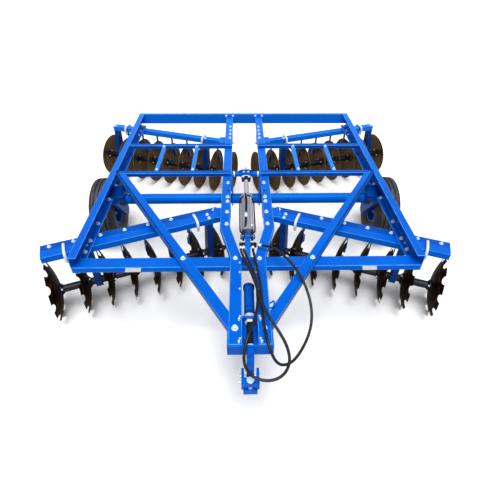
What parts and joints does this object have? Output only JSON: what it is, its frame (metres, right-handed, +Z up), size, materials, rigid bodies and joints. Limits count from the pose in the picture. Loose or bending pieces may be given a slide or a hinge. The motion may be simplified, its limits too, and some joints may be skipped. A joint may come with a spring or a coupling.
{
  "type": "disc harrow",
  "caption": "Trailed tandem disc harrow with notched front and plain rear disc gangs, a blue channel frame, lift wheels on a rockshaft and a towing clevis.",
  "frame": {"origin": "on the floor under the middle of the rockshaft", "axes": "+X to the right as seen from the hitch, +Y to the rear, away from the hitch, +Z up"},
  "size_m": [3.9792, 4.2257, 1.046],
  "materials": {
    "blue_paint": "gloss",
    "cast_black": "satin",
    "chrome_rod": "polished",
    "cylinder_grey": "satin",
    "dark_blue_paint": "gloss",
    "disc_steel": "oiled",
    "hose_rubber": "satin",
    "rim_paint": "gloss",
    "tyre_rubber": "matte",
    "zinc": "zinc plated"
  },
  "bodies": {
    "frame": {"frame_rails": "blue_paint", "rear_beam": "blue_paint", "front_beam": "blue_paint", "central_beams": "blue_paint", "cross_beams": "blue_paint", "struts": "blue_paint", "braces": "blue_paint", "drawbar_head": "blue_paint", "tongue": "blue_paint", "strut_rod": "zinc", "strut_can": "dark_blue_paint", "gang_mounts": "blue_paint", "gang_beams": "blue_paint", "scraper_strips": "blue_paint", "scraper_arms": "dark_blue_paint", "hangers": "dark_blue_paint", "rockshaft_bearings": "blue_paint", "cylinder_bracket": "blue_paint", "hose_fittings": "zinc", "hose_outer": "hose_rubber", "hose_inner": "hose_rubber"},
    "hitch": {"hitch_clevis": "blue_paint", "hitch_jaws": "blue_paint", "hitch_pin": "zinc"},
    "gang_front_right": {"discs_front_right": "disc_steel", "spools_front_right": "cast_black"},
    "gang_front_left": {"discs_front_left": "disc_steel", "spools_front_left": "cast_black"},
    "gang_rear_right": {"discs_rear_right": "disc_steel", "spools_rear_right": "cast_black"},
    "gang_rear_left": {"discs_rear_left": "disc_steel", "spools_rear_left": "cast_black"},
    "rockshaft": {"rockshaft": "blue_paint", "lift_lever": "blue_paint", "wheel_arms": "blue_paint"},
    "wheel_right": {"tyre_right": "tyre_rubber", "rim_right": "rim_paint"},
    "wheel_left": {"tyre_left": "tyre_rubber", "rim_left": "rim_paint"},
    "cylinder_barrel": {"cylinder_barrel": "cylinder_grey"},
    "cylinder_rod": {"cylinder_rod": "chrome_rod"}
  },
  "joints": [
    {"name": "gang_front_right_turn", "type": "hinge", "parent": "frame", "child": "gang_front_right", "pos_m": [0.263, -0.3435, 0.28], "axis": [0.9304, -0.3665, 0], "continuous": true},
    {"name": "gang_front_left_turn", "type": "hinge", "parent": "frame", "child": "gang_front_left", "pos_m": [-0.263, -0.3435, 0.28], "axis": [0.9304, 0.3665, 0], "continuous": true},
    {"name": "gang_rear_right_turn", "type": "hinge", "parent": "frame", "child": "gang_rear_right", "pos_m": [0.2385, 1.2763, 0.28], "axis": [0.9511, 0.309, 0], "continuous": true},
    {"name": "gang_rear_left_turn", "type": "hinge", "parent": "frame", "child": "gang_rear_left", "pos_m": [-0.2385, 1.2763, 0.28], "axis": [0.9511, -0.309, 0], "continuous": true},
    {"name": "rockshaft_turn", "type": "hinge", "parent": "frame", "child": "rockshaft", "pos_m": [0, 0, 0.671], "axis": [1, 0, 0], "range_deg": [-31, 20]},
    {"name": "wheel_right_turn", "type": "hinge", "parent": "rockshaft", "child": "wheel_right", "pos_m": [1.55, 0.27, 0.358], "axis": [1, 0, 0], "continuous": true},
    {"name": "wheel_left_turn", "type": "hinge", "parent": "rockshaft", "child": "wheel_left", "pos_m": [-1.55, 0.27, 0.358], "axis": [1, 0, 0], "continuous": true},
    {"name": "cylinder_swing", "type": "hinge", "parent": "frame", "child": "cylinder_barrel", "pos_m": [0, -0.985, 0.93], "axis": [1, 0, 0], "range_deg": [-2, 2]},
    {"name": "cylinder_stroke", "type": "slide", "parent": "cylinder_barrel", "child": "cylinder_rod", "axis": [0, 0.9991, 0.0417], "range_m": [-0.12, 0.18]},
    {"name": "hitch_pitch", "type": "hinge", "parent": "frame", "child": "hitch", "pos_m": [0, -2.018, 0.545], "axis": [1, 0, 0], "range_deg": [-10, 10]}
  ],
  "couplings": [
    {"joint": "cylinder_stroke", "follows": "rockshaft_turn", "m_per_rad": -0.292},
    {"joint": "cylinder_swing", "follows": "rockshaft_turn", "ratio": 0.02}
  ]
}
